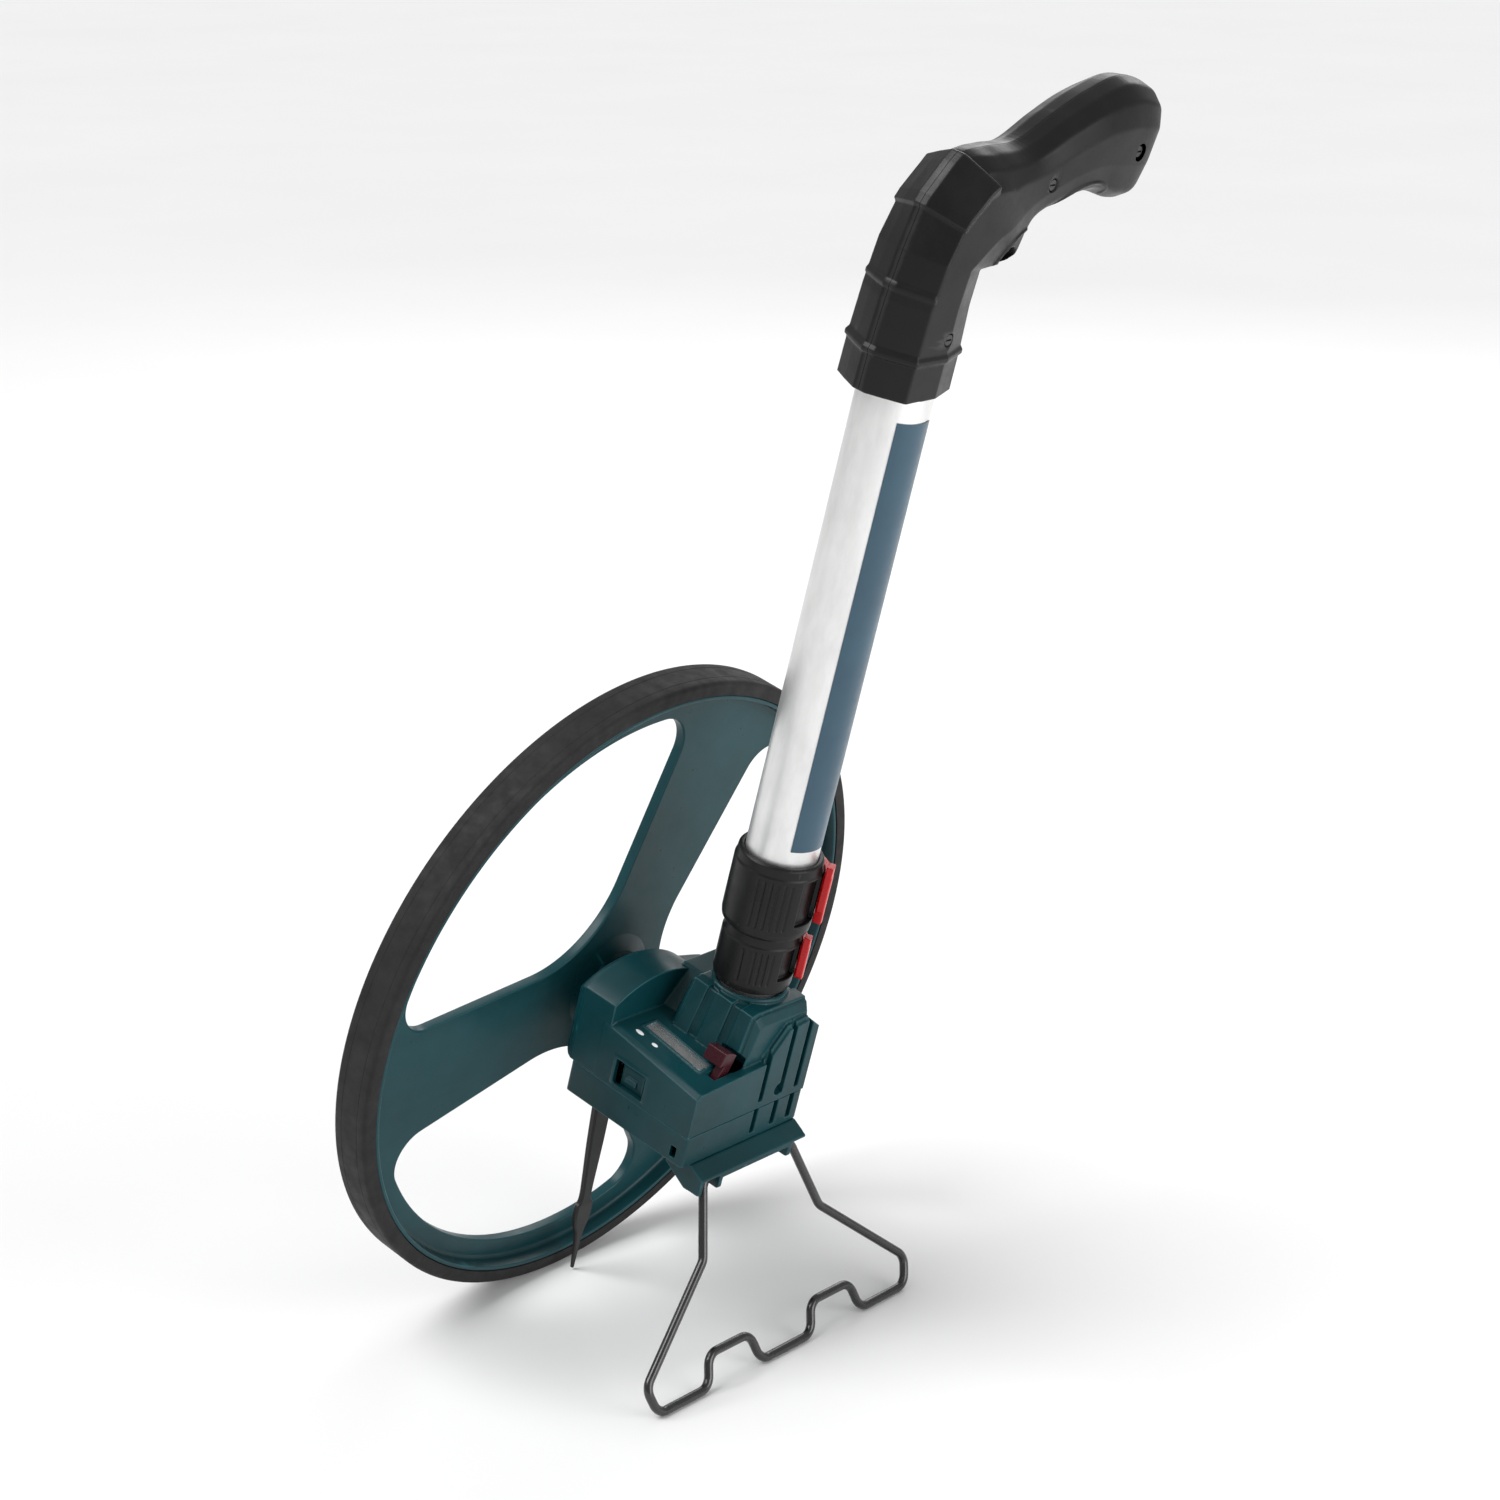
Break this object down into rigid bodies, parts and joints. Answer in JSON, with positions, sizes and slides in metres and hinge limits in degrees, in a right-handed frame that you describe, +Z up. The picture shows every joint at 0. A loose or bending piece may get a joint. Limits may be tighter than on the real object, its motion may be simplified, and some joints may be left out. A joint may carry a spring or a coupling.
{
  "type": "measuring wheel",
  "caption": "Distance measuring wheel with a tyred three-spoke disc, geared drum counter in a side housing, telescopic pole with clamp levers, angled grip and folding wire stand.",
  "frame": {"origin": "bottom centre of the bounding box, on the ground, with the wheel resting on its tyre and leaning on its wire stand", "axes": "+Z is up and is the longest extent; +X runs along the tilted axle from the wheel towards the counter housing and the stand, and is the shortest extent; +Y is the way the grip points"},
  "size_m": [0.261, 0.3184, 0.5779],
  "materials": {
    "tyre_rubber": "matt black moulded rubber",
    "petrol_plastic": "dark petrol-blue moulded plastic, fine satin grain",
    "black_plastic": "satin black moulded plastic",
    "black_coated_wire": "black dipped wire",
    "anodised_aluminium": "satin clear-anodised tube",
    "zinc_steel": "bright zinc plate",
    "bearing_bronze": "sintered bronze",
    "white_nylon": "natural nylon",
    "digit_drum": "white moulded number drum",
    "clear_window": "clear acrylic",
    "red_plastic": "red moulded plastic",
    "reset_lever_plastic": "very dark red moulded plastic",
    "pole_label": "printed film label"
  },
  "bodies": {
    "frame": {"housing_cover": "petrol_plastic", "housing_base": "petrol_plastic", "housing_screw_1": "zinc_steel", "housing_screw_2": "zinc_steel", "housing_screw_3": "zinc_steel", "housing_screw_4": "zinc_steel", "cover_screw": "zinc_steel", "display_window": "clear_window", "axle_bush": "bearing_bronze", "bearing_bracket": "white_nylon", "counter_frame": "zinc_steel", "lower_tube": "anodised_aluminium", "pole_socket": "black_plastic", "stand_bracket": "petrol_plastic"},
    "wheel": {"tyre": "tyre_rubber", "wheel_disc": "petrol_plastic", "axle": "zinc_steel", "axle_spacer": "zinc_steel", "axle_nut": "zinc_steel", "hub_cap": "petrol_plastic", "axle_circlip": "zinc_steel", "drive_gear": "white_nylon"},
    "counter_drive": {"counter_gear": "white_nylon", "counter_shaft": "zinc_steel", "drum_tenths": "digit_drum", "shaft_cap": "zinc_steel"},
    "units_drum": {"drum_units": "digit_drum"},
    "tens_drum": {"drum_tens": "digit_drum"},
    "hundreds_drum": {"drum_hundreds": "digit_drum"},
    "thousands_drum": {"drum_thousands": "digit_drum"},
    "reset": {"reset_lever": "reset_lever_plastic"},
    "plumb_pointer": {"pointer": "black_plastic"},
    "kickstand": {"kickstand_wire": "black_coated_wire"},
    "middle_pole": {"middle_tube": "anodised_aluminium", "lower_collar": "black_plastic", "lower_lever_pin": "zinc_steel"},
    "top_pole": {"upper_tube": "anodised_aluminium", "upper_collar": "black_plastic", "upper_lever_pin": "zinc_steel", "pole_label": "pole_label", "handle_left": "black_plastic", "handle_right": "black_plastic", "handle_screw_1": "zinc_steel", "handle_screw_2": "zinc_steel", "handle_screw_3": "zinc_steel"},
    "lower_lever": {"lower_clamp_lever": "red_plastic"},
    "upper_lever": {"upper_clamp_lever": "red_plastic"}
  },
  "joints": [
    {"name": "wheel_spin", "type": "hinge", "parent": "frame", "child": "wheel", "pos_m": [-0.06734, 0, 0.15305], "axis": [0.9617, 0, -0.274], "continuous": true},
    {"name": "counter_shaft_spin", "type": "hinge", "parent": "frame", "child": "counter_drive", "pos_m": [-0.04673, -0.027, 0.1451], "axis": [0.9617, 0, -0.274], "continuous": true},
    {"name": "units_drum_spin", "type": "hinge", "parent": "frame", "child": "units_drum", "pos_m": [-0.00441, -0.027, 0.13305], "axis": [0.9617, 0, -0.274], "continuous": true},
    {"name": "tens_drum_spin", "type": "hinge", "parent": "frame", "child": "tens_drum", "pos_m": [-0.01115, -0.027, 0.13496], "axis": [0.9617, 0, -0.274], "continuous": true},
    {"name": "hundreds_drum_spin", "type": "hinge", "parent": "frame", "child": "hundreds_drum", "pos_m": [-0.01788, -0.027, 0.13688], "axis": [0.9617, 0, -0.274], "continuous": true},
    {"name": "thousands_drum_spin", "type": "hinge", "parent": "frame", "child": "thousands_drum", "pos_m": [-0.02461, -0.027, 0.1388], "axis": [0.9617, 0, -0.274], "continuous": true},
    {"name": "reset_press", "type": "hinge", "parent": "frame", "child": "reset", "pos_m": [0.01097, -0.027, 0.12866], "axis": [0.9617, 0, -0.274], "range_deg": [0, 30], "stiffness_Nm_per_rad": 0.05, "springref_deg": -11.46},
    {"name": "pointer_swing", "type": "hinge", "parent": "frame", "child": "plumb_pointer", "pos_m": [-0.06445, 0, 0.15223], "axis": [0.9617, 0, -0.274], "continuous": true},
    {"name": "kickstand_fold", "type": "hinge", "parent": "frame", "child": "kickstand", "pos_m": [0.01087, 0, 0.0896], "axis": [0, 1, 0], "range_deg": [0, 94]},
    {"name": "lower_pole_slide", "type": "slide", "parent": "frame", "child": "middle_pole", "axis": [0.274, 0, 0.9617], "range_m": [0, 0.22]},
    {"name": "upper_pole_slide", "type": "slide", "parent": "middle_pole", "child": "top_pole", "axis": [0.274, 0, 0.9617], "range_m": [0, 0.22]},
    {"name": "lower_lever_open", "type": "hinge", "parent": "middle_pole", "child": "lower_lever", "pos_m": [-0.00246, 0.0316, 0.19072], "axis": [0.274, 0, 0.9617], "range_deg": [0, 95]},
    {"name": "upper_lever_open", "type": "hinge", "parent": "top_pole", "child": "upper_lever", "pos_m": [0.00658, 0.0316, 0.22245], "axis": [0.274, 0, 0.9617], "range_deg": [0, 95]}
  ],
  "couplings": [
    {"joint": "counter_shaft_spin", "follows": "wheel_spin", "ratio": -1},
    {"joint": "units_drum_spin", "follows": "wheel_spin", "ratio": -0.1},
    {"joint": "tens_drum_spin", "follows": "wheel_spin", "ratio": -0.01},
    {"joint": "hundreds_drum_spin", "follows": "wheel_spin", "ratio": -0.001},
    {"joint": "thousands_drum_spin", "follows": "wheel_spin", "ratio": -0.0001}
  ]
}
